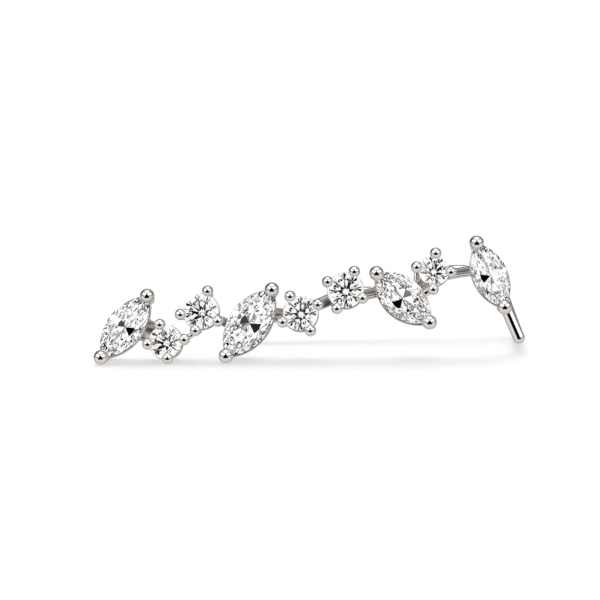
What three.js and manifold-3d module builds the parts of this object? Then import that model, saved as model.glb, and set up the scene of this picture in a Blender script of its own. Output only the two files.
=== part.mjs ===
// A rigid ear climber: nine brilliant-cut stones in claw settings, soldered into one zig-zag row. A straight
// post drops from the last setting, and a bent ear wire leads back from its end and runs up behind the row.
//
// The row is laid out on its own face plane: x along the row, z up the face, y backwards, in millimetres.
// The plane through the centres of the claw beads is y = 0. The whole climber then leans back by `lean`,
// which is how it stands by itself: on three lower beads in front, and on its ear wire behind.

import * as THREE from 'three';
import { mergeVertices } from 'three/addons/utils/BufferGeometryUtils.js';
import { ConvexGeometry } from 'three/addons/geometries/ConvexGeometry.js';
import Module from 'manifold-3d';

const wasm = await Module();
wasm.setup();

// ---- driving dimensions ----

const lean = 17.5;            // degrees that the face leans back from upright
const stoneGap = 0.04;        // clearance that every setting keeps round its stone

const smallBead = 0.34;       // claw bead radius, round settings
const largeBead = 0.43;       // claw bead radius, marquise settings
const clawTopShare = 0.94;    // claw radius under its bead, against the bead's
const clawFootShare = 0.76;   // claw radius at its back end
const clawTail = 0.02;        // how far a claw runs back past its base ring
const clawDraw = 0.12;        // how far a claw leans inwards on its way back

const girdleY = 0.14;         // middle of every girdle, behind the bead centres
const girdleThickness = 0.06;
const crownShare = 0.3;       // crown height, against half the stone's width
const starShare = 0.79;       // how far out the star points sit, against the girdle's outline
const starLift = 1.05;        // how far star points and lower points stand proud of the straight slope
const lowerLift = 1.03;

// How each kind of stone is cut: its table and its lower points, against the girdle's outline, and the
// depth of its pavilion, against half the stone's width.
const roundCut = { table: 0.56, lower: 0.22, pavilion: 0.875 };
const marquiseCut = { table: 0.62, lower: 0.5, pavilion: 0.97 };

const galleryY = 0.42;        // front of the gallery ring that runs under the girdle
const galleryDepth = 0.34;
const galleryWidth = 0.24;
const gallerySize = 1.05;     // outline of a gallery ring against its stone's
const roundBase = 0.96;       // front of the base ring that joins the claws at the back, round settings
const marquiseBase = 1.1;     // and marquise settings, whose stones reach further back
const baseDepth = 0.26;
const baseWidth = 0.26;
const baseSize = 0.9;
const tipShare = 1.6;         // width of a marquise ring at its tips, against its sides

const railY = 0.52;           // front of the rails between the settings
const railDepth = 0.42;
const railLip = 0.15;         // a channel rail has a lip along each edge of its front
const railStop = 0.9;         // a rail ends inside a gallery ring, at this share of the ring's width
const strutY = 0.66;          // middle of the round struts

const earWire = 0.35;         // radius of the post and of the ear wire

// Round settings: the stone's centre and radius, and where its four beads sit round it, each with its
// direction in degrees and its distance from the centre. A claw that stands low leans inwards by `draw`.
const roundSettings = [
  {
    stone: 'round_stone_1', x: -8.52, z: 0.82, radius: 0.98,
    beads: [
      { at: 106.5, reach: 1.07 }, { at: 186.6, reach: 1.02 },
      { at: 279, reach: 0.967, draw: 0.34 }, { at: 6.7, reach: 1.14 },
    ],
  },
  {
    stone: 'round_stone_2', x: -6.42, z: 2.6, radius: 1.04,
    beads: [
      { at: 70.6, reach: 1.24 }, { at: 188.6, reach: 1.2 },
      { at: 254.6, reach: 1.17 }, { at: 329, reach: 1.16 },
    ],
  },
  {
    stone: 'round_stone_3', x: -0.58, z: 2.4, radius: 1.02,
    beads: [
      { at: 120.5, reach: 1.16 }, { at: 205.5, reach: 1.15 },
      { at: 299.7, reach: 1.17 }, { at: 25.7, reach: 1.14 },
    ],
  },
  {
    stone: 'round_stone_4', x: 2.06, z: 3.73, radius: 1.05,
    beads: [
      { at: 63.5, reach: 1.2 }, { at: 154.5, reach: 1.14 },
      { at: 245, reach: 1.19 }, { at: 333.8, reach: 1.11 },
    ],
  },
  {
    stone: 'round_stone_5', x: 7.24, z: 4.8, radius: 0.88,
    beads: [
      { at: 83.8, reach: 1.01 }, { at: 168.2, reach: 1.03 },
      { at: 266.3, reach: 1.1 }, { at: 353.7, reach: 0.98 },
    ],
  },
];

// Marquise settings: the stone's centre, the half length from there to each end bead, the stone's width,
// the turn of its long axis from the row's x in degrees, and how far the lower claw leans inwards.
const marquiseSettings = [
  { stone: 'marquise_stone_1', x: -10.93, z: 1.75, half: 2.25, width: 2.14, turn: 52.7, lowerDraw: 0.4 },
  { stone: 'marquise_stone_2', x: -3.59, z: 1.885, half: 2.355, width: 2.4, turn: 54.8, lowerDraw: 0.4 },
  { stone: 'marquise_stone_3', x: 5.41, z: 3.23, half: 2.1, width: 2.33, turn: 136.3, lowerDraw: clawDraw },
  { stone: 'marquise_stone_4', x: 10.51, z: 4.49, half: 2.04, width: 2.02, turn: 112.2, lowerDraw: clawDraw },
];

// Rails that join neighbouring settings: the two ends of each one's middle line, its height across, and how
// far the middle of its front is set back between the lips.
const rails = [
  { from: [-9.9, 1.62], to: [-9.0, 1.3], height: 1.36, hollow: 0.2 },
  { from: [-5.6, 2.2], to: [-4.5, 1.8], height: 0.55, hollow: 0 },
  { from: [-2.9, 2.3], to: [-1.2, 2.42], height: 0.82, hollow: 0.2 },
  { from: [0.2, 2.85], to: [1.5, 3.35], height: 0.62, hollow: 0 },
  { from: [2.7, 3.4], to: [4.5, 3.82], height: 0.66, hollow: 0.2 },
  { from: [5.93, 3.6], to: [6.93, 4.25], height: 0.74, hollow: 0.2 },
  { from: [7.8, 4.6], to: [9.9, 4.94], height: 0.62, hollow: 0.2 },
];

// Short struts of round wire, where two claws stand close together or a claw stands close to a rim or rail.
const struts = [
  { from: [-7.45, 0.95], to: [-6.7, 1.5], radius: 0.16 },
  { from: [6.25, 3.27], to: [7.2, 3.88], radius: 0.26 },
  { from: [6.22, 4.9], to: [6.2, 4.2], radius: 0.15 },
];

// The post: a straight bar with round ends, from beside the last claw down to where the ear wire starts.
const post = { top: [11.46, 1.15, 2.63], bottom: [12.17, 1.25, 0.91] };

// The ear wire's corners, each with the size of its bend, from the end of the post to the free tip.
const wireCorners = [
  { at: post.bottom, bend: 0 },
  { at: [12.45, 5.3, 1.394], bend: 1.0 },
  { at: [11.1, 5.3, 5.3], bend: 1.3 },
  { at: [8, 5.3, 5.42], bend: 1.0 },
  { at: [5.75, 5.25, 4.09], bend: 1.0 },
  { at: [1.9, 5.1, 4.1], bend: 1.3 },
  { at: [-0.9, 5.0, 2.85], bend: 1.2 },
  { at: [-3.3, 4.9, 2.6], bend: 0.9 },
  { at: [-4.66, 4.8, 1.391], bend: 0 },
];

// ---- helpers ----

const degrees = Math.PI / 180;

// The closed mesh of a geometry, as a solid that can be joined and cut.
function solidOf(geometry) {
  const bare = geometry.clone();
  bare.deleteAttribute('normal');
  bare.deleteAttribute('uv');
  const merged = mergeVertices(bare, 1e-5);
  return new wasm.Manifold(new wasm.Mesh({
    numProp: 3,
    vertProperties: new Float32Array(merged.attributes.position.array),
    triVerts: new Uint32Array(merged.index.array),
  }));
}

function geometryOf(solid) {
  const mesh = solid.getMesh();
  const geometry = new THREE.BufferGeometry();
  geometry.setAttribute('position', new THREE.BufferAttribute(new Float32Array(mesh.vertProperties), 3));
  geometry.setIndex(new THREE.BufferAttribute(new Uint32Array(mesh.triVerts), 1));
  return geometry;
}

// A round bar from one point to another, tapering from the first radius to the second.
function bar(from, to, fromRadius, toRadius, sides) {
  const start = new THREE.Vector3(...from);
  const end = new THREE.Vector3(...to);
  const along = end.clone().sub(start);
  const geometry = new THREE.CylinderGeometry(toRadius, fromRadius, along.length(), sides);
  const upright = new THREE.Vector3(0, 1, 0);
  geometry.applyQuaternion(new THREE.Quaternion().setFromUnitVectors(upright, along.normalize()));
  const middle = start.add(end).multiplyScalar(0.5);
  return geometry.translate(middle.x, middle.y, middle.z);
}

function ball(centre, radius, around, down) {
  return new THREE.SphereGeometry(radius, around, down).rotateX(Math.PI / 2).translate(...centre);
}

// Puts a form that was made round the origin at its setting's place and turn on the face plane.
function placed(geometry, setting) {
  return geometry.rotateY(-(setting.turn ?? 0) * degrees).translate(setting.x, 0, setting.z);
}

// ---- outlines ----

// A marquise outline is two equal arcs that meet in points on the x axis.
function marquiseArc(half, halfWidth) {
  const radius = (half * half + halfWidth * halfWidth) / (2 * halfWidth);
  return { radius, sweep: Math.asin(half / radius), drop: radius - halfWidth };
}

function marquiseShape(half, halfWidth) {
  const { radius, sweep, drop } = marquiseArc(half, halfWidth);
  const shape = new THREE.Shape();
  shape.absarc(0, -drop, radius, Math.PI / 2 - sweep, Math.PI / 2 + sweep, false);
  shape.absarc(0, drop, radius, -Math.PI / 2 - sweep, -Math.PI / 2 + sweep, false);
  return shape;
}

function circleShape(radius) {
  return new THREE.Shape().absarc(0, 0, radius, 0, 2 * Math.PI, false);
}

// An outline made solid from y = front to y = front + depth.
function plate(shape, front, depth, curveSegments) {
  const geometry = new THREE.ExtrudeGeometry(shape, { depth, bevelEnabled: false, curveSegments });
  return geometry.rotateX(Math.PI / 2).translate(0, front + depth, 0);
}

function ring(outer, inner, front, depth, curveSegments) {
  outer.holes.push(inner);
  return plate(outer, front, depth, curveSegments);
}

// The outline `inset` inside one that is `size` times the stone's.
function marquiseInside({ half, width }, size, inset) {
  return marquiseShape(half * size - inset * tipShare, width / 2 * size - inset);
}

// ---- stones ----

// Sixteen points round a girdle: the even ones carry the main facets, the odd ones lie between them.
function roundGirdle(radius) {
  return Array.from({ length: 16 }, (_, i) => {
    const angle = i * Math.PI / 8;
    return [radius * Math.cos(angle), radius * Math.sin(angle)];
  });
}

function marquiseGirdle(half, halfWidth) {
  const { radius, sweep, drop } = marquiseArc(half, halfWidth);
  return Array.from({ length: 16 }, (_, i) => {
    const side = i < 8 ? 1 : -1;
    const angle = sweep * (1 - (i % 8) / 4);
    return [side * radius * Math.sin(angle), side * (radius * Math.cos(angle) - drop)];
  });
}

// A brilliant cut over any girdle outline: table, stars, crown, thin girdle, pavilion and culet.
function brilliant(girdle, halfWidth, cut) {
  const crown = crownShare * halfWidth;
  const pavilion = cut.pavilion * halfWidth;
  const front = girdleY - girdleThickness / 2;
  const back = girdleY + girdleThickness / 2;
  const points = [new THREE.Vector3(0, back + pavilion, 0)];
  girdle.forEach(([x, z], i) => {
    points.push(new THREE.Vector3(x, front, z), new THREE.Vector3(x, back, z));
    if (i % 2 === 0) {
      points.push(new THREE.Vector3(x * cut.table, front - crown, z * cut.table));
    } else {
      const starRise = crown * starLift * (1 - starShare) / (1 - cut.table);
      const lowerDepth = pavilion * lowerLift * (1 - cut.lower);
      points.push(new THREE.Vector3(x * starShare, front - starRise, z * starShare));
      points.push(new THREE.Vector3(x * cut.lower, back + lowerDepth, z * cut.lower));
    }
  });
  return new ConvexGeometry(points);
}

function roundStone({ radius }) {
  return brilliant(roundGirdle(radius), radius, roundCut);
}

function marquiseStone({ half, width }) {
  return brilliant(marquiseGirdle(half, width / 2), width / 2, marquiseCut);
}

// The seat that is cut for a stone: its plain outer form, larger by the clearance on every side.
function seat(girdle, halfWidth, cut) {
  const front = girdleY - girdleThickness / 2 - stoneGap;
  const back = girdleY + girdleThickness / 2 + stoneGap;
  const points = [new THREE.Vector3(0, back + cut.pavilion * halfWidth + stoneGap, 0)];
  girdle.forEach(([x, z], i) => {
    points.push(new THREE.Vector3(x, front, z), new THREE.Vector3(x, back, z));
    if (i % 2 === 0) {
      points.push(new THREE.Vector3(x * cut.table, front - crownShare * halfWidth, z * cut.table));
    }
  });
  return new ConvexGeometry(points);
}

function roundSeat({ radius }) {
  return seat(roundGirdle(radius + stoneGap), radius, roundCut);
}

function marquiseSeat({ half, width }) {
  return seat(marquiseGirdle(half + 2 * stoneGap, width / 2 + stoneGap), width / 2, marquiseCut);
}

// ---- settings ----

// A setting's two rings: the gallery ring under the girdle, and the base ring from y = base.
function ringsOf(base) {
  return [
    { size: gallerySize, width: galleryWidth, front: galleryY, depth: galleryDepth },
    { size: baseSize, width: baseWidth, front: base, depth: baseDepth },
  ];
}

// A bead at its distance from the setting's centre, and the claw that runs back from it past the base ring.
function clawParts({ x, z }, direction, reach, draw, bead, base, sides) {
  const dx = Math.cos(direction * degrees);
  const dz = Math.sin(direction * degrees);
  const head = [x + dx * reach, 0, z + dz * reach];
  const foot = [x + dx * (reach - draw), base + baseDepth + clawTail, z + dz * (reach - draw)];
  return [ball(head, bead, 8, sides - 1), bar(head, foot, bead * clawTopShare, bead * clawFootShare, sides)];
}

function roundSettingParts(setting) {
  const ringParts = ringsOf(roundBase).map(({ size, width, front, depth }) => {
    const outer = setting.radius * size;
    return placed(ring(circleShape(outer), circleShape(outer - width), front, depth, 6), setting);
  });
  const claws = setting.beads.flatMap(({ at, reach, draw = clawDraw }) => (
    clawParts(setting, at, reach, draw, smallBead, roundBase, 6)
  ));
  return [...ringParts, ...claws];
}

function marquiseSettingParts(setting) {
  const { half, turn, lowerDraw } = setting;
  const ringParts = ringsOf(marquiseBase).map(({ size, width, front, depth }) => {
    const outer = marquiseInside(setting, size, 0);
    return placed(ring(outer, marquiseInside(setting, size, width), front, depth, 5), setting);
  });
  return [
    ...ringParts,
    ...clawParts(setting, turn, half, clawDraw, largeBead, marquiseBase, 7),
    ...clawParts(setting, turn + 180, half, lowerDraw, largeBead, marquiseBase, 7),
  ];
}

// ---- what joins the settings ----

// A rail: a straight bar, or a channel with its hollow side in front.
function railPart({ from, to, height, hollow }) {
  const half = height / 2;
  const lip = half - railLip;
  const outline = [[-half, 0], [-half, -railDepth], [half, -railDepth], [half, 0]];
  if (hollow > 0) {
    outline.push([lip, 0], [lip, -hollow], [-lip, -hollow], [-lip, 0]);
  }
  const section = new THREE.Shape(outline.map(([across, y]) => new THREE.Vector2(across, y)));
  const along = new THREE.Vector3(to[0] - from[0], 0, to[1] - from[1]);
  const geometry = new THREE.ExtrudeGeometry(section, { depth: along.length(), bevelEnabled: false });
  along.normalize();
  const side = new THREE.Vector3(-along.z, 0, along.x);
  const turned = new THREE.Matrix4().makeBasis(side, new THREE.Vector3(0, -1, 0), along);
  return geometry.applyMatrix4(turned.setPosition(from[0], railY, from[1]));
}

function strutPart({ from, to, radius }) {
  return bar([from[0], strutY, from[1]], [to[0], strutY, to[1]], radius, radius, 6);
}

// The open space inside each gallery ring, which no rail runs into.
function roundWell(setting) {
  const opening = circleShape(setting.radius * gallerySize - galleryWidth * railStop);
  return placed(plate(opening, 0, roundBase, 6), setting);
}

function marquiseWell(setting) {
  const opening = marquiseInside(setting, gallerySize, galleryWidth * railStop);
  return placed(plate(opening, 0, marquiseBase, 5), setting);
}

// ---- ear wire ----

// Straight lengths of wire joined by smooth bends, each bend reaching `bend` along both its sides.
function wirePath() {
  const path = new THREE.CurvePath();
  const corner = wireCorners.map(({ at }) => new THREE.Vector3(...at));
  let start = corner[0];
  for (let i = 1; i < corner.length; i += 1) {
    const { bend } = wireCorners[i];
    const before = corner[i].clone().lerp(corner[i - 1], bend / corner[i].distanceTo(corner[i - 1]));
    path.add(new THREE.LineCurve3(start, before));
    if (i < corner.length - 1) {
      const after = corner[i].clone().lerp(corner[i + 1], bend / corner[i].distanceTo(corner[i + 1]));
      path.add(new THREE.QuadraticBezierCurve3(before, corner[i], after));
      start = after;
    }
  }
  return path;
}

function earWireParts() {
  const section = new THREE.Shape().absarc(0, 0, earWire, 0, 2 * Math.PI, false);
  const extrudePath = wirePath();
  return [
    bar(post.top, post.bottom, earWire, earWire, 8),
    ball(post.top, earWire, 8, 6),
    ball(post.bottom, earWire, 8, 6),
    new THREE.ExtrudeGeometry(section, { steps: 35, curveSegments: 4, extrudePath }),
    ball(wireCorners.at(-1).at, earWire, 8, 6),
  ];
}

// ---- the soldered frame and the stones ----

function frameGeometry() {
  const settings = [
    ...roundSettings.flatMap(roundSettingParts),
    ...marquiseSettings.flatMap(marquiseSettingParts),
    ...earWireParts(),
  ].map(solidOf);
  const joins = [...rails.map(railPart), ...struts.map(strutPart)].map(solidOf);
  const wells = [...roundSettings.map(roundWell), ...marquiseSettings.map(marquiseWell)].map(solidOf);
  const seats = [
    ...roundSettings.map((setting) => placed(roundSeat(setting), setting)),
    ...marquiseSettings.map((setting) => placed(marquiseSeat(setting), setting)),
  ].map(solidOf);
  const joined = wasm.Manifold.union(joins).subtract(wasm.Manifold.union(wells));
  const metal = wasm.Manifold.union([...settings, joined]).subtract(wasm.Manifold.union(seats));
  return geometryOf(metal);
}

const whiteGold = new THREE.MeshStandardMaterial({ color: 0xd9d7d4, roughness: 0.08, metalness: 1 });
const clearStone = new THREE.MeshStandardMaterial({ color: 0xf4f6fa, roughness: 0.02, metalness: 0 });

function named(name, geometry, material) {
  const mesh = new THREE.Mesh(geometry, material);
  mesh.name = name;
  return mesh;
}

const row = new THREE.Group();
row.add(named('metal_frame', frameGeometry(), whiteGold));
for (const setting of roundSettings) {
  row.add(named(setting.stone, placed(roundStone(setting), setting), clearStone.clone()));
}
for (const setting of marquiseSettings) {
  row.add(named(setting.stone, placed(marquiseStone(setting), setting), clearStone.clone()));
}
row.rotation.x = -lean * degrees;

// The origin is the middle of the climber's box, on the surface that it stands on.
const climber = new THREE.Group();
climber.add(row);
const box = new THREE.Box3().setFromObject(climber, true);
row.position.set(-(box.min.x + box.max.x) / 2, -(box.min.y + box.max.y) / 2, -box.min.z);

export default climber;
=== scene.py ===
# A rigid ear climber in white gold: nine claw-set brilliants in a zig-zag row, with an ear wire behind it.
# The row is laid out flat, in millimetres: x along it, z up its face, y backwards. One matrix stands it up.

import math

import bmesh
import bpy
from mathutils import Matrix, Vector


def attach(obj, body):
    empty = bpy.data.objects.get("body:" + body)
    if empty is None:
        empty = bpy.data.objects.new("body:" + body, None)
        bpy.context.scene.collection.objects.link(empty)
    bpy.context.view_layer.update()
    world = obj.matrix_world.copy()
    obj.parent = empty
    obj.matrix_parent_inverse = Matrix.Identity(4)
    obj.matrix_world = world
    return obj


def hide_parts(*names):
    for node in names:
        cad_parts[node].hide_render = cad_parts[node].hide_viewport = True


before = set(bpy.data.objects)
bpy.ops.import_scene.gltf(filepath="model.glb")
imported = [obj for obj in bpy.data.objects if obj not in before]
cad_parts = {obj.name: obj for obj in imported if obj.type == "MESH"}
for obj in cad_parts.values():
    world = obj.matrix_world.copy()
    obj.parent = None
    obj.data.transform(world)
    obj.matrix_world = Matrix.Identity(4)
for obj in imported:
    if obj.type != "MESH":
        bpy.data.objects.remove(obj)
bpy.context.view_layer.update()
mm = 0.001  # metres


# The row: where each setting sits on the face, and the claws round it

row = {
    "lean": 17.5,  # degrees that the face leans back from upright
    "girdleY": 0.14,  # middle of every girdle, behind the bead centres
    "culetY": 1.0275,  # back of the first round stone
    "rounds": [
        {"x": -8.52, "z": 0.82, "radius": 0.98, "spin": 8,
         "beads": [(106.5, 1.07), (186.6, 1.02), (279, 0.967, 0.34), (6.7, 1.14)]},
        {"x": -6.42, "z": 2.6, "radius": 1.04, "spin": 14,
         "beads": [(70.6, 1.24), (188.6, 1.2), (254.6, 1.17), (329, 1.16)]},
        {"x": -0.58, "z": 2.4, "radius": 1.02, "spin": 0,
         "beads": [(120.5, 1.16), (205.5, 1.15), (299.7, 1.17), (25.7, 1.14)]},
        {"x": 2.06, "z": 3.73, "radius": 1.05, "spin": 5,
         "beads": [(63.5, 1.2), (154.5, 1.14), (245, 1.19), (333.8, 1.11)]},
        {"x": 7.24, "z": 4.8, "radius": 0.88, "spin": 11,
         "beads": [(83.8, 1.01), (168.2, 1.03), (266.3, 1.1), (353.7, 0.98)]},
    ],
    "marquises": [
        {"x": -10.93, "z": 1.75, "half": 2.25, "width": 2.14, "turn": 52.7, "lowerDraw": 0.4},
        {"x": -3.59, "z": 1.885, "half": 2.355, "width": 2.4, "turn": 54.8, "lowerDraw": 0.4},
        {"x": 5.41, "z": 3.23, "half": 2.1, "width": 2.33, "turn": 136.3},
        {"x": 10.51, "z": 4.49, "half": 2.04, "width": 2.02, "turn": 112.2},
    ],
}


def standingRow():
    lean = Matrix.Rotation(math.radians(-row["lean"]), 4, "X")
    corners = [lean.inverted() @ vertex.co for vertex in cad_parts["round_stone_1"].data.vertices]
    middleX = (min(c.x for c in corners) + max(c.x for c in corners)) / 2
    middleZ = (min(c.z for c in corners) + max(c.z for c in corners)) / 2
    culetY = max(c.y for c in corners)
    first = row["rounds"][0]
    shift = Vector((middleX, culetY, middleZ)) - Vector((first["x"], row["culetY"], first["z"])) * mm
    return lean @ Matrix.Translation(shift) @ Matrix.Scale(mm, 4)


def kindOf(setting):
    return "round" if "radius" in setting else "marquise"


def turnedTo(setting, x, y, z):
    turn = math.radians(setting.get("turn", 0))
    return Vector((
        setting["x"] + x * math.cos(turn) - z * math.sin(turn),
        y,
        setting["z"] + x * math.sin(turn) + z * math.cos(turn),
    ))


def inScene(name, data):
    thing = bpy.data.objects.new(name, data)
    bpy.context.scene.collection.objects.link(thing)
    return thing


def finished(name, mesh, material, smooth=False):
    data = bpy.data.meshes.new(name)
    bmesh.ops.transform(mesh, matrix=standing, verts=mesh.verts)
    mesh.to_mesh(data)
    mesh.free()
    for face in data.polygons:
        face.use_smooth = smooth
    data.materials.append(material)
    return inScene(name, data)


# Outlines: a round is a circle, a marquise is two equal arcs that meet in points on its x axis

def arcOf(setting, size=1.0):
    half, halfWidth = setting["half"] * size, setting["width"] / 2 * size
    radius = (half * half + halfWidth * halfWidth) / (2 * halfWidth)
    return radius, radius - halfWidth


def outlinePoint(setting, step, steps, size=1.0, inset=0.0):
    if "radius" in setting:
        angle = 2 * math.pi * step / steps + math.radians(setting["spin"])
        radius = setting["radius"] * size - inset
        return Vector((radius * math.cos(angle), 0, radius * math.sin(angle)))
    radius, drop = arcOf(setting, size)
    radius -= inset
    side = 1 if step < steps / 2 else -1
    sweep = math.acos(drop / radius)
    angle = sweep * (1 - 4 * (step % (steps / 2)) / steps)
    return Vector((side * radius * math.sin(angle), 0, side * (radius * math.cos(angle) - drop)))


def insideBy(setting, x, z):
    turn = math.radians(-setting.get("turn", 0))
    dx, dz = x - setting["x"], z - setting["z"]
    u = dx * math.cos(turn) - dz * math.sin(turn)
    v = dx * math.sin(turn) + dz * math.cos(turn)
    if "radius" in setting:
        return setting["radius"] - math.hypot(u, v)
    radius, drop = arcOf(setting)
    return radius - math.hypot(u, abs(v) + drop)


# Finishes

def newMaterial(name):
    material = bpy.data.materials.new(name)
    material.use_nodes = True
    nodes = material.node_tree.nodes
    return material, nodes, material.node_tree.links, nodes["Principled BSDF"]


def whiteGold():
    look = {
        "bright": (0.905, 0.868, 0.84, 1),
        "shade": (0.86, 0.82, 0.79, 1),
        "polish": (0.025, 0.06),  # roughness, from the best polished spots to the worst
        "cloudScale": 900,  # slow changes of tone along the metal
        "cloudDetail": 4,
        "cloudSpan": (0.3, 0.7),  # the part of the cloud's values that the polish follows
        "grainScale": 14000,  # polishing grain
        "grainDepth": 0.000002,
        "grainStrength": 0.12,
    }
    material, nodes, links, shader = newMaterial("white_gold")
    place = nodes.new("ShaderNodeTexCoord")
    cloud = nodes.new("ShaderNodeTexNoise")
    cloud.inputs["Scale"].default_value = look["cloudScale"]
    cloud.inputs["Detail"].default_value = look["cloudDetail"]
    tone = nodes.new("ShaderNodeMix")
    tone.data_type = "RGBA"
    tone.inputs["A"].default_value = look["bright"]
    tone.inputs["B"].default_value = look["shade"]
    grain = nodes.new("ShaderNodeTexNoise")
    grain.inputs["Scale"].default_value = look["grainScale"]
    polish = nodes.new("ShaderNodeMapRange")
    polish.inputs["From Min"].default_value, polish.inputs["From Max"].default_value = look["cloudSpan"]
    polish.inputs["To Min"].default_value, polish.inputs["To Max"].default_value = look["polish"]
    bump = nodes.new("ShaderNodeBump")
    bump.inputs["Strength"].default_value = look["grainStrength"]
    bump.inputs["Distance"].default_value = look["grainDepth"]
    links.new(place.outputs["Object"], cloud.inputs["Vector"])
    links.new(place.outputs["Object"], grain.inputs["Vector"])
    links.new(cloud.outputs["Fac"], tone.inputs["Factor"])
    links.new(tone.outputs["Result"], shader.inputs["Base Color"])
    links.new(cloud.outputs["Fac"], polish.inputs["Value"])
    links.new(polish.outputs["Result"], shader.inputs["Roughness"])
    links.new(grain.outputs["Fac"], bump.inputs["Height"])
    links.new(bump.outputs["Normal"], shader.inputs["Normal"])
    shader.inputs["Metallic"].default_value = 1.0
    return material


# Gold for the faces inside the rails' hollows. It is rougher than the polished gold and has a random grain in
# tone. It is also much darker, and that darkness is painted shade in the hollows.
def recessShadeGold():
    look = {
        "bright": (0.74, 0.7, 0.67, 1),
        "darker": (0.5, 0.465, 0.44, 1),
        "roughness": 0.34,
        "grainScale": 3500,
        "grainDetail": 2,
    }
    material, nodes, links, shader = newMaterial("white_gold_painted_recess_shade")
    place = nodes.new("ShaderNodeTexCoord")
    grain = nodes.new("ShaderNodeTexNoise")
    grain.inputs["Scale"].default_value = look["grainScale"]
    grain.inputs["Detail"].default_value = look["grainDetail"]
    tone = nodes.new("ShaderNodeMix")
    tone.data_type = "RGBA"
    tone.inputs["A"].default_value = look["bright"]
    tone.inputs["B"].default_value = look["darker"]
    links.new(place.outputs["Object"], grain.inputs["Vector"])
    links.new(grain.outputs["Fac"], tone.inputs["Factor"])
    links.new(tone.outputs["Result"], shader.inputs["Base Color"])
    shader.inputs["Metallic"].default_value = 1.0
    shader.inputs["Roughness"].default_value = look["roughness"]
    return material


def clearStone():
    look = {"index": 2.42, "mirrorFrom": 0.25}  # the mirror takes over from this share of reflection on
    material, nodes, links, plain = newMaterial("clear_stone")
    nodes.remove(plain)
    through = nodes.new("ShaderNodeBsdfRefraction")
    through.inputs["IOR"].default_value = look["index"]
    mirror = nodes.new("ShaderNodeBsdfAnisotropic")
    for shader in (through, mirror):
        shader.inputs["Color"].default_value = (1, 1, 1, 1)
        shader.inputs["Roughness"].default_value = 0.0
    fresnel = nodes.new("ShaderNodeFresnel")
    fresnel.inputs["IOR"].default_value = look["index"]
    share = nodes.new("ShaderNodeMapRange")
    share.inputs["From Min"].default_value = look["mirrorFrom"]
    surface = nodes.new("ShaderNodeMixShader")
    links.new(fresnel.outputs["Fac"], share.inputs["Value"])
    links.new(share.outputs["Result"], surface.inputs["Fac"])
    links.new(through.outputs["BSDF"], surface.inputs[1])
    links.new(mirror.outputs["BSDF"], surface.inputs[2])
    links.new(surface.outputs["Shader"], nodes["Material Output"].inputs["Surface"])
    return material


# Stones: a rough prism on the girdle's outline, cut facet by facet

stoneCut = {
    "girdle": 0.05,
    "star": 0.76,  # star points against the girdle's outline, as are the table and the lower points
    "crown": 0.3,  # crown height against half the stone's width, as is the depth of the pavilion
    "round": {"table": 0.56, "lower": 0.13, "pavilion": 0.853},
    "marquise": {"table": 0.62, "lower": 0.5, "pavilion": 0.97},
    "corners": 16,  # round the girdle, where its facets meet
    "nudge": 0.01,  # of a corner to either side, for the outline's direction there
    "steps": 96,  # round the rough prism, whose depth is against half the stone's width
    "prismDepth": 3,
    "merge": 0.0005,
}


def halfWidthOf(setting):
    return setting["radius"] if "radius" in setting else setting["width"] / 2


def facetsOf(setting):
    halfWidth = halfWidthOf(setting)
    count, nudge = stoneCut["corners"], stoneCut["nudge"]
    up = Vector((0, -1, 0))  # out of the table
    top = row["girdleY"] - stoneCut["girdle"] / 2
    bottom = row["girdleY"] + stoneCut["girdle"] / 2
    rim = [outlinePoint(setting, i, count) for i in range(count)]
    ahead = [
        outlinePoint(setting, i + nudge, count) - outlinePoint(setting, i - nudge, count)
        for i in range(count)
    ]
    if "half" in setting:  # the points of a marquise are cut straight across
        ahead[0] = Vector((0, 0, 1))
        ahead[count // 2] = Vector((0, 0, -1))
    tableY = top - stoneCut["crown"] * halfWidth
    cut = stoneCut[kindOf(setting)]
    culet = Vector((0, bottom + cut["pavilion"] * halfWidth, 0))
    facets = [(Vector((0, tableY, 0)), up)]

    def add(a, b, c):
        normal = (b - a).cross(c - a).normalized()
        middle = Vector((0, row["girdleY"], 0))
        if normal.dot(a - middle) < 0:
            normal.negate()
        facets.append((a, normal))
        return a, normal

    def depthOn(plane, x, z):
        point, normal = plane
        return point.y - (normal.x * (x - point.x) + normal.z * (z - point.z)) / normal.y

    def at(point, y):
        return Vector((point.x, y, point.z))

    crown = {}
    pavilion = {}
    for i in range(0, count, 2):
        edge = at(rim[i], top)
        crown[i] = add(edge, edge + ahead[i], at(rim[i] * cut["table"], tableY))
        edge = at(rim[i], bottom)
        pavilion[i] = add(edge, edge + ahead[i], culet)
    for i in range(1, count, 2):
        before, after = i - 1, (i + 1) % count
        star = rim[i] * stoneCut["star"]
        star = at(star, max(depthOn(crown[before], star.x, star.z), depthOn(crown[after], star.x, star.z)))
        low = rim[i] * cut["lower"]
        low = at(low, min(depthOn(pavilion[before], low.x, low.z), depthOn(pavilion[after], low.x, low.z)))
        tableBefore = at(rim[before] * cut["table"], tableY)
        tableAfter = at(rim[after] * cut["table"], tableY)
        add(tableBefore, tableAfter, star)
        for j in (before, after):
            add(at(rim[i], top), at(rim[j], top), star)
            add(at(rim[i], bottom), at(rim[j], bottom), low)
    return facets


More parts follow.
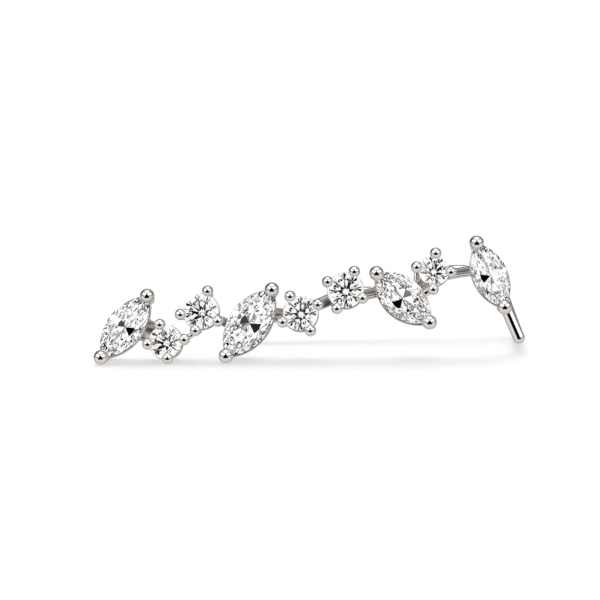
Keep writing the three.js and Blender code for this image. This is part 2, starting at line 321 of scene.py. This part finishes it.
def cutStone(name, setting, material):
    steps = stoneCut["steps"]
    halfWidth = halfWidthOf(setting)
    ahead = Vector((0, row["girdleY"] - halfWidth, 0))
    behind = Vector((0, stoneCut["prismDepth"] * halfWidth, 0))
    rough = bmesh.new()
    front = [rough.verts.new(outlinePoint(setting, i, steps) + ahead) for i in range(steps)]
    back = [rough.verts.new(v.co + behind) for v in front]
    rough.faces.new(front)
    rough.faces.new(list(reversed(back)))
    for i in range(steps):
        j = (i + 1) % steps
        rough.faces.new((front[j], front[i], back[i], back[j]))
    bmesh.ops.recalc_face_normals(rough, faces=rough.faces)
    for point, normal in facetsOf(setting):
        cut = bmesh.ops.bisect_plane(
            rough, geom=rough.verts[:] + rough.edges[:] + rough.faces[:],
            plane_co=point, plane_no=normal, clear_outer=True,
        )
        edges = [e for e in cut["geom_cut"] if isinstance(e, bmesh.types.BMEdge)]
        if len(edges) > 2:
            bmesh.ops.edgeloop_fill(rough, edges=edges)
    bmesh.ops.remove_doubles(rough, verts=rough.verts, dist=stoneCut["merge"])
    bmesh.ops.recalc_face_normals(rough, faces=rough.faces)
    for vertex in rough.verts:
        vertex.co = turnedTo(setting, vertex.co.x, vertex.co.y, vertex.co.z)
    return finished(name, rough, material)


# Rims: a gallery rim under each stone and a base rim behind it

rims = {
    "steps": 96,
    "cornerSteps": 5,
    "gallery": {"front": 0.42, "depth": 0.34, "width": 0.24, "size": 1.05, "edge": 0.06},
    "base": {"depth": 0.26, "width": 0.26, "size": 0.9, "edge": 0.07},
    "baseFront": {"round": 0.96, "marquise": 1.1},
}


def softRectangle(width, front, depth, edge):
    corners = [
        (edge, front + edge, 180), (width - edge, front + edge, 270),
        (width - edge, front + depth - edge, 0), (edge, front + depth - edge, 90),
    ]
    steps = rims["cornerSteps"]
    section = []
    for across, y, start in corners:
        for k in range(steps + 1):
            angle = math.radians(start + 90 * k / steps)
            section.append((across + edge * math.cos(angle), y + edge * math.sin(angle)))
    return section


def addRim(mesh, setting, rim):
    section = softRectangle(rim["width"], rim["front"], rim["depth"], rim["edge"])
    steps = rims["steps"]
    loops = []
    for inset, y in section:
        points = [outlinePoint(setting, i, steps, rim["size"], inset) for i in range(steps)]
        loops.append([mesh.verts.new(turnedTo(setting, p.x, y, p.z)) for p in points])
    for k, loop in enumerate(loops):
        following = loops[(k + 1) % len(loops)]
        for i in range(steps):
            j = (i + 1) % steps
            mesh.faces.new((loop[i], loop[j], following[j], following[i]))


def makeRims(material):
    mesh = bmesh.new()
    for setting in row["rounds"] + row["marquises"]:
        addRim(mesh, setting, rims["gallery"])
        addRim(mesh, setting, dict(rims["base"], front=rims["baseFront"][kindOf(setting)]))
    bmesh.ops.recalc_face_normals(mesh, faces=mesh.faces)
    return finished("setting_rims", mesh, material, smooth=True)


# Rails: bars from rim to rim, some with a hollow front between two lips, one with ribs in its hollow

rails = {
    "front": 0.52,
    "depth": 0.42,
    "lip": 0.15,
    "edge": 0.06,
    "flare": 0.2,  # how much wider a rail grows where it meets a rim
    "flarePower": 4,
    "ribHalf": 0.4,  # a rib's half width and rise, against the room that it has
    "ribRise": 0.6,
    "faceSteps": 16,
    "lipSteps": 8,
    "steps": 24,
    "search": 0.01,  # step of the search for the rim, and how far short of its middle a rail ends
    "short": 0.03,
    "margin": 0.001,  # when the faces of a recess are told from the rest
    "links": [
        {"ends": ("m1", "r1"), "from": (-9.9, 1.62), "to": (-9.0, 1.3), "height": 1.36, "hollow": 0.2},
        {"ends": ("r2", "m2"), "from": (-5.6, 2.2), "to": (-4.5, 1.8), "height": 0.55, "hollow": 0},
        {"ends": ("m2", "r3"), "from": (-2.9, 2.3), "to": (-1.2, 2.42), "height": 0.82, "hollow": 0.2},
        {"ends": ("r3", "r4"), "from": (0.2, 2.85), "to": (1.5, 3.35), "height": 0.62, "hollow": 0},
        {"ends": ("r4", "m3"), "from": (2.7, 3.4), "to": (4.5, 3.82), "height": 0.66, "hollow": 0.2},
        {"ends": ("m3", "r5"), "from": (5.93, 3.6), "to": (6.93, 4.25), "height": 0.74, "hollow": 0.2,
         "ribs": 3},
        {"ends": ("r5", "m4"), "from": (7.8, 4.6), "to": (9.9, 4.94), "height": 0.62, "hollow": 0.2},
    ],
}


def bulge(middle, halfWidth, front, rise, steps):
    points = []
    for k in range(steps + 1):
        angle = math.pi * k / steps
        points.append((middle + halfWidth * math.cos(angle), front - rise * math.sin(angle)))
    return points


def railSection(link):
    half, lip, edge = link["height"] / 2, rails["lip"], rails["edge"]
    front, back = rails["front"], rails["front"] + rails["depth"]
    hollow = link["hollow"]
    if not hollow:
        side = [(half, back), (half, front + edge)]
        face = bulge(0, half, front + edge, edge, rails["faceSteps"])
        return side + face + [(-half, front + edge), (-half, back)], (-math.inf, math.inf)
    low = front + hollow
    lips = bulge(half - lip / 2, lip / 2, front + lip / 2, lip / 2, rails["lipSteps"])
    section = [(half, back), (half, front + lip / 2)] + lips[1:] + [(half - lip, low)]
    ribs = link.get("ribs", 0)
    room = link["height"] - 2 * lip
    for k in range(ribs):
        middle = room / 2 - room * (k + 0.5) / ribs
        halfRib, rise = room / ribs * rails["ribHalf"], room / ribs * rails["ribRise"]
        section += bulge(middle, halfRib, low, rise, rails["lipSteps"])
    section += [(-across, y) for across, y in reversed(section[:len(lips) + 2])]
    return section, (low - rails["margin"], half - lip + rails["margin"])


def reach(setting, start, ahead):
    stop = rims["gallery"]["width"] / 2 - rails["short"]
    step = rails["search"]
    travel, closest = 0.0, -math.inf
    while closest < stop:
        spot = start + ahead * (travel + step)
        inside = insideBy(setting, spot.x, spot.z)
        if inside < closest:
            break
        travel, closest = travel + step, inside
    return travel


def settingNamed(end):
    settings = row["rounds"] if end[0] == "r" else row["marquises"]
    return settings[int(end[1]) - 1]


def addRail(mesh, link):
    settings = [settingNamed(end) for end in link["ends"]]
    start = Vector((link["from"][0], 0, link["from"][1]))
    stop = Vector((link["to"][0], 0, link["to"][1]))
    middle = (start + stop) / 2
    along = (stop - start).normalized()
    up = Vector((-along.z, 0, along.x))
    steps = rails["steps"]
    rows = []
    section, (recess, within) = railSection(link)  # the recess starts at this depth, and is so wide
    back = rails["front"] + rails["depth"] - rails["margin"]
    for across, y in section:
        wide = across * (1 + rails["flare"])
        backwards = -reach(settings[0], middle + up * wide, -along)
        forwards = reach(settings[1], middle + up * wide, along)
        points = []
        for k in range(steps + 1):
            t = k / steps
            flare = 1 + rails["flare"] * abs(2 * t - 1) ** rails["flarePower"]
            spot = middle + along * (backwards + (forwards - backwards) * t) + up * across * flare
            points.append(mesh.verts.new((spot.x, y, spot.z)))
        rows.append(points)
    for k, points in enumerate(rows):
        following = rows[(k + 1) % len(rows)]
        across, y = [(a + b) / 2 for a, b in zip(section[k], section[(k + 1) % len(section)])]
        # Faces inside a hollow take the second material, whose dark tone is painted shade.
        rough = abs(across) < within and recess < y < back
        for i in range(steps):
            face = mesh.faces.new((points[i], points[i + 1], following[i + 1], following[i]))
            face.material_index = 1 if rough else 0
    mesh.faces.new([points[0] for points in rows])
    mesh.faces.new([points[-1] for points in reversed(rows)])


def makeRails(material, recessShadeMaterial):
    mesh = bmesh.new()
    for link in rails["links"]:
        addRail(mesh, link)
    bmesh.ops.recalc_face_normals(mesh, faces=mesh.faces)
    piece = finished("joining_rails", mesh, material, smooth=True)
    # The second material goes on the hollows' faces and carries painted shade.
    piece.data.materials.append(recessShadeMaterial)
    return piece


# Round metal: claws with their beads, struts and the ear wire, all swept along lines by one node tree

def roundMetalTree():
    tree = bpy.data.node_groups.new("roundMetal", "GeometryNodeTree")
    sockets = {}
    for name, kind in (
        ("Lines", "NodeSocketGeometry"), ("Step Length", "NodeSocketFloat"), ("Wire Sides", "NodeSocketInt"),
        ("Bead Sides", "NodeSocketInt"), ("Metal", "NodeSocketMaterial"),
    ):
        sockets[name] = tree.interface.new_socket(name, in_out="INPUT", socket_type=kind).identifier
    tree.interface.new_socket("Metalwork", in_out="OUTPUT", socket_type="NodeSocketGeometry")
    add, link = tree.nodes.new, tree.links.new
    given = add("NodeGroupInput")
    result = add("NodeGroupOutput")

    lines = add("GeometryNodeMeshToCurve")
    even = add("GeometryNodeResampleCurve")
    even.mode = "LENGTH"
    thickness = add("GeometryNodeInputNamedAttribute")
    thickness.data_type = "FLOAT"
    thickness.inputs["Name"].default_value = "wireRadius"
    circle = add("GeometryNodeCurvePrimitiveCircle")
    circle.inputs["Radius"].default_value = 1.0
    sweep = add("GeometryNodeCurveToMesh")
    sweep.inputs["Fill Caps"].default_value = True
    link(given.outputs["Lines"], lines.inputs["Mesh"])
    link(lines.outputs["Curve"], even.inputs["Curve"])
    link(given.outputs["Step Length"], even.inputs["Length"])
    link(even.outputs["Curve"], sweep.inputs["Curve"])
    link(given.outputs["Wire Sides"], circle.inputs["Resolution"])
    link(circle.outputs["Curve"], sweep.inputs["Profile Curve"])
    link(thickness.outputs["Attribute"], sweep.inputs["Scale"])

    beadSize = add("GeometryNodeInputNamedAttribute")
    beadSize.data_type = "FLOAT"
    beadSize.inputs["Name"].default_value = "beadRadius"
    hasBead = add("FunctionNodeCompare")
    hasBead.operation = "GREATER_THAN"
    bead = add("GeometryNodeMeshUVSphere")
    bead.inputs["Radius"].default_value = 1.0
    halfSides = add("ShaderNodeMath")
    halfSides.operation = "DIVIDE"
    halfSides.inputs[1].default_value = 2
    beads = add("GeometryNodeInstanceOnPoints")
    link(beadSize.outputs["Attribute"], hasBead.inputs["A"])
    link(given.outputs["Bead Sides"], bead.inputs["Segments"])
    link(given.outputs["Bead Sides"], halfSides.inputs[0])
    link(halfSides.outputs["Value"], bead.inputs["Rings"])
    link(given.outputs["Lines"], beads.inputs["Points"])
    link(hasBead.outputs["Result"], beads.inputs["Selection"])
    link(bead.outputs["Mesh"], beads.inputs["Instance"])
    link(beadSize.outputs["Attribute"], beads.inputs["Scale"])

    together = add("GeometryNodeJoinGeometry")
    smooth = add("GeometryNodeSetShadeSmooth")
    real = add("GeometryNodeRealizeInstances")
    metal = add("GeometryNodeSetMaterial")
    link(sweep.outputs["Mesh"], together.inputs["Geometry"])
    link(beads.outputs["Instances"], together.inputs["Geometry"])
    link(together.outputs["Geometry"], real.inputs["Geometry"])
    link(real.outputs["Geometry"], smooth.inputs["Geometry"])
    link(smooth.outputs["Geometry"], metal.inputs["Geometry"])
    link(given.outputs["Metal"], metal.inputs["Material"])
    link(metal.outputs["Geometry"], result.inputs["Metalwork"])
    return tree, sockets


def sweptMetal(name, lines, material, stepLength, wireSides, beadSides):
    points, edges, wireRadius, beadRadius = [], [], [], []
    for line in lines:
        for k, (point, wire, bead) in enumerate(line):
            if k:
                edges.append((len(points) - 1, len(points)))
            points.append(standing @ Vector(point))
            wireRadius.append(wire * mm)
            beadRadius.append(bead * mm)
    data = bpy.data.meshes.new(name + "_lines")
    data.from_pydata(points, edges, [])
    data.attributes.new("wireRadius", "FLOAT", "POINT").data.foreach_set("value", wireRadius)
    data.attributes.new("beadRadius", "FLOAT", "POINT").data.foreach_set("value", beadRadius)
    carrier = inScene(name + "_lines", data)
    modifier = carrier.modifiers.new("roundMetal", "NODES")
    modifier.node_group, sockets = roundMetal
    modifier[sockets["Step Length"]] = stepLength * mm
    modifier[sockets["Wire Sides"]] = wireSides
    modifier[sockets["Bead Sides"]] = beadSides
    modifier[sockets["Metal"]] = material
    evaluated = carrier.evaluated_get(bpy.context.evaluated_depsgraph_get())
    made = bpy.data.meshes.new_from_object(evaluated)
    made.name = name
    bpy.data.objects.remove(carrier)
    return inScene(name, made)


claws = {
    "smallBead": 0.34,
    "largeBead": 0.43,
    "top": 0.94,  # claw radius under its bead and at its foot, against the bead's
    "foot": 0.76,
    "heel": 0.8,  # the very end, against the foot
    "tail": 0.02,  # how far a claw runs back past its base ring
    "draw": 0.12,  # how far a claw leans inwards on its way back, where its setting gives nothing else
    "bevel": 0.06,
    "struts": [
        {"from": (-7.45, 0.95), "to": (-6.7, 1.5), "radius": 0.16},
        {"from": (6.25, 3.27), "to": (7.2, 3.88), "radius": 0.26},
        {"from": (6.22, 4.9), "to": (6.2, 4.2), "radius": 0.15},
    ],
    "strutY": 0.66,
    "beadSides": 48,
    "wireSides": 32,
    "stepLength": 0.06,
}


def clawLine(setting, bead, direction, distance, draw=claws["draw"]):
    angle = math.radians(direction)
    out = Vector((math.cos(angle), 0, math.sin(angle)))
    centre = Vector((setting["x"], 0, setting["z"]))
    head = centre + out * distance
    back = rims["baseFront"][kindOf(setting)] + rims["base"]["depth"] + claws["tail"]
    heel = centre + out * (distance - draw) + Vector((0, back, 0))
    bevelled = heel + (head - heel).normalized() * claws["bevel"]
    foot = bead * claws["foot"]
    return [(head, bead * claws["top"], bead), (bevelled, foot, 0), (heel, foot * claws["heel"], 0)]


def makeClaws(material):
    lines = []
    for setting in row["rounds"]:
        for bead in setting["beads"]:
            lines.append(clawLine(setting, claws["smallBead"], *bead))
    for setting in row["marquises"]:
        turn, half, size = setting["turn"], setting["half"], claws["largeBead"]
        lines.append(clawLine(setting, size, turn, half))
        lines.append(clawLine(setting, size, turn + 180, half, setting.get("lowerDraw", claws["draw"])))
    for strut in claws["struts"]:
        ends = [(x, claws["strutY"], z) for x, z in (strut["from"], strut["to"])]
        lines.append([(end, strut["radius"], 0) for end in ends])
    return sweptMetal("claws", lines, material, claws["stepLength"], claws["wireSides"], claws["beadSides"])


earWire = {
    "radius": 0.35,
    "postTop": (11.46, 1.15, 2.63),
    "corners": [  # from the end of the post on: each corner, with how far its bend reaches along both sides
        ((12.17, 1.25, 0.91), 0), ((12.45, 5.3, 1.394), 1.0), ((11.1, 5.3, 5.3), 1.3), ((8, 5.3, 5.42), 1.0),
        ((5.75, 5.25, 4.09), 1.0), ((1.9, 5.1, 4.1), 1.3), ((-0.9, 5.0, 2.85), 1.2), ((-3.3, 4.9, 2.6), 0.9),
        ((-4.66, 4.8, 1.391), 0),
    ],
    "bendSteps": 16,
    "sides": 40,
    "stepLength": 0.08,
}


def makeEarWire(material):
    corners = [Vector(point) for point, _ in earWire["corners"]]
    path = [corners[0]]
    for i in range(1, len(corners) - 1):
        bend = earWire["corners"][i][1]
        before = corners[i] + (corners[i - 1] - corners[i]).normalized() * bend
        after = corners[i] + (corners[i + 1] - corners[i]).normalized() * bend
        for k in range(earWire["bendSteps"] + 1):
            t = k / earWire["bendSteps"]
            path.append(before * (1 - t) ** 2 + corners[i] * 2 * t * (1 - t) + after * t ** 2)
    path.append(corners[-1])
    radius, sides = earWire["radius"], earWire["sides"]
    post = [(Vector(earWire["postTop"]), radius, radius), (corners[0], radius, radius)]
    wire = [(point, radius, 0) for point in path[:-1]] + [(path[-1], radius, radius)]
    return sweptMetal("ear_wire", [post, wire], material, earWire["stepLength"], sides, sides)


# Build

standing = standingRow()
gold = whiteGold()
shadedRecessGold = recessShadeGold()
diamond = clearStone()
roundMetal = roundMetalTree()

for piece in (makeClaws(gold), makeRims(gold), makeRails(gold, shadedRecessGold), makeEarWire(gold)):
    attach(piece, "root")
    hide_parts("metal_frame")
    print("metal:", piece.name, len(piece.data.polygons), "faces")

for kind, settings in (("round", row["rounds"]), ("marquise", row["marquises"])):
    for number, setting in enumerate(settings, 1):
        stone = cutStone(f"{kind}_brilliant_{number}", setting, diamond)
        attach(stone, "root")
        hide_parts(f"{kind}_stone_{number}")
        print("stone:", stone.name, len(stone.data.polygons), "facets")


# Studio: a pale floor, and soft boxes round the piece. Metal, stones and floor are each lit by their own set.

studio = {
    "floorSize": 2.0,
    "floorTone": 0.44,  # the floor card glows a little, which keeps its shadows pale
    "floorGlow": 0.525,
    "white": 0.985,
    "metal": {
        "ground": 0.8,
        "sky": 0.42,
        "patches": [  # azimuth from the front, elevation, half width, half height, softness, level, taper
            ("ground behind", 180, -40, 85, 45, 25, 0.48, 0),
            ("floor below", 0, -90, 180, 35, 25, 0.62, 0),
            ("low belt", 0, 8, 180, 8, 5, 0.3, 0),
            ("left wall behind", -140, 20, 45, 22, 8, 0.08, 0),
            ("right wall behind", 140, 20, 42, 20, 8, 0.22, 0),
            ("left box", -52, 34, 42, 18, 5, 1.3, 0),
            ("right box", 50, 34, 42, 18, 5, 1.25, 0),
            ("overhead box", 0, 90, 180, 25, 5, 1.8, 0),
            ("gap above", -1, 44, 6, 14, 4, 0.3, 0),
            ("front gap", 0, 6, 30, 30, 4, 0.0, 0.5),
        ],
    },
    "stones": {
        "ground": 0.97,
        "sky": 0.92,
        "patches": [
            ("left box", -68, 40, 30, 18, 4, 1.25, 0),
            ("right box", 62, 40, 30, 18, 4, 1.25, 0),
            ("overhead box", 0, 90, 180, 25, 4, 1.3, 0),
            ("back card", 180, 30, 60, 30, 8, 0.35, 0),
            ("low front card", 0, -40, 60, 25, 10, 1.0, 0),
            ("left blue card", -36, 36, 5, 6, 3, (0.55, 0.6, 0.7), 0),
            ("right blue card", 36, 36, 5, 6, 3, (0.55, 0.6, 0.7), 0),
            ("upper edge", 0, 62, 180, 2, 1, 0.03, 0),
            ("lower edge", 0, -12, 180, 2, 1, 0.2, 0),
            ("front gap", 3, 12, 15.5, 15, 2, (0.001, 0.002, 0.002), 0),
            ("right of the gap", 15, 5, 4, 5, 2, (0.06, 0.065, 0.075), 0),
            ("left of the gap", -5, 22, 4, 5, 2, (0.03, 0.033, 0.04), 0),
        ],
    },
    "floor": {
        "ground": 0.0,
        "sky": 0.5,
        "patches": [
            ("back box", 180, 60, 60, 15, 10, 5.4, 0),
        ],
    },
}


def makeFloor():
    mesh = bmesh.new()
    bmesh.ops.create_grid(mesh, x_segments=1, y_segments=1, size=studio["floorSize"])
    data = bpy.data.meshes.new("floor")
    mesh.to_mesh(data)
    mesh.free()
    floor = inScene("floor", data)
    material, _, _, shader = newMaterial("floor_card")
    tone = studio["floorTone"]
    shader.inputs["Base Color"].default_value = (tone, tone, tone, 1)
    shader.inputs["Roughness"].default_value = 1.0
    shader.inputs["Specular IOR Level"].default_value = 0.0
    glow = studio["floorGlow"]
    shader.inputs["Emission Color"].default_value = (glow, glow, glow, 1)
    shader.inputs["Emission Strength"].default_value = 1.0
    data.materials.append(material)
    floor.visible_glossy = False
    floor.visible_transmission = False


def makeStudio():
    world = bpy.data.worlds.new("studio")
    bpy.context.scene.world = world
    world.use_nodes = True
    nodes, links = world.node_tree.nodes, world.node_tree.links

    def feed(node, sockets, values):
        for socket, value in zip(sockets, values):
            if isinstance(value, bpy.types.NodeSocket):
                links.new(value, node.inputs[socket])
            else:
                node.inputs[socket].default_value = value

    def calculate(operation, *values):
        node = nodes.new("ShaderNodeMath")
        node.operation = operation
        feed(node, range(len(values)), values)
        return node.outputs["Value"]

    def within(angle, half, soft):
        node = nodes.new("ShaderNodeMapRange")
        node.interpolation_type = "SMOOTHSTEP"
        feed(node, ("Value", "From Min", "From Max"), (angle, half + soft, half - soft))
        return node.outputs["Result"]

    def colour(level):
        if isinstance(level, bpy.types.NodeSocket):
            return level
        return (*level, 1) if isinstance(level, tuple) else (level, level, level, 1)

    def blend(factor, a, b):
        node = nodes.new("ShaderNodeMix")
        node.data_type = "RGBA"
        feed(node, ("Factor", "A", "B"), (factor, colour(a), colour(b)))
        return node.outputs["Result"]

    place = nodes.new("ShaderNodeTexCoord")
    axes = nodes.new("ShaderNodeSeparateXYZ")
    links.new(place.outputs["Generated"], axes.inputs["Vector"])
    forward = calculate("MULTIPLY", axes.outputs["Y"], -1.0)
    azimuth = calculate("DEGREES", calculate("ARCTAN2", axes.outputs["X"], forward))
    elevation = calculate("DEGREES", calculate("ARCSINE", axes.outputs["Z"]))
    below = within(calculate("ADD", elevation, 90.0), 90.0, 1.0)  # the horizon

    def surroundings(lights):
        level = blend(below, lights["sky"], lights["ground"])
        for patch in lights["patches"]:
            _, patchAzimuth, patchElevation, halfWidth, halfHeight, soft, patchLevel, taper = patch
            offset = calculate("WRAP", calculate("SUBTRACT", azimuth, patchAzimuth), 180.0, -180.0)
            climb = calculate("SUBTRACT", elevation, patchElevation)
            spread = calculate("MULTIPLY_ADD", climb, taper, calculate("ABSOLUTE", offset))
            across = within(spread, halfWidth, soft)
            factor = calculate("MULTIPLY", across, within(calculate("ABSOLUTE", climb), halfHeight, soft))
            level = blend(factor, level, patchLevel)
        return level

    ray = nodes.new("ShaderNodeLightPath").outputs
    level = blend(ray["Is Transmission Ray"], surroundings(studio["metal"]), surroundings(studio["stones"]))
    level = blend(ray["Is Diffuse Ray"], level, surroundings(studio["floor"]))
    level = blend(ray["Is Camera Ray"], level, studio["white"])
    links.new(level, nodes["Background"].inputs["Color"])


makeFloor()
makeStudio()
print("studio ready")


# Camera: a long lens, a little right of the middle, looking slightly down

view = {
    "azimuth": 3.0,
    "elevation": 12.0,
    "distance": 92,
    "lens": 94.4,
    "sensor": 36,
    "clip": (0.001, 10),  # metres
    "roll": -1.4,
    "aim": (-0.609, -2.195, 3.461),
}


def makeCamera():
    data = bpy.data.cameras.new("camera")
    data.lens = view["lens"]
    data.sensor_width = view["sensor"]
    data.clip_start, data.clip_end = view["clip"]
    camera = inScene("camera", data)
    azimuth, elevation = math.radians(view["azimuth"]), math.radians(view["elevation"])
    back = Vector((
        math.sin(azimuth) * math.cos(elevation),
        -math.cos(azimuth) * math.cos(elevation),
        math.sin(elevation),
    ))
    turn = (-back).to_track_quat("-Z", "Y").to_matrix() @ Matrix.Rotation(math.radians(view["roll"]), 3, "Z")
    spot = (Vector(view["aim"]) + back * view["distance"]) * mm
    camera.matrix_world = Matrix.Translation(spot) @ turn.to_4x4()
    bpy.context.scene.camera = camera


makeCamera()
bpy.context.scene.view_settings.view_transform = "Standard"
bpy.context.scene.cycles.max_bounces = 24
bpy.context.scene.cycles.transmission_bounces = 24
bpy.context.scene.cycles.glossy_bounces = 12
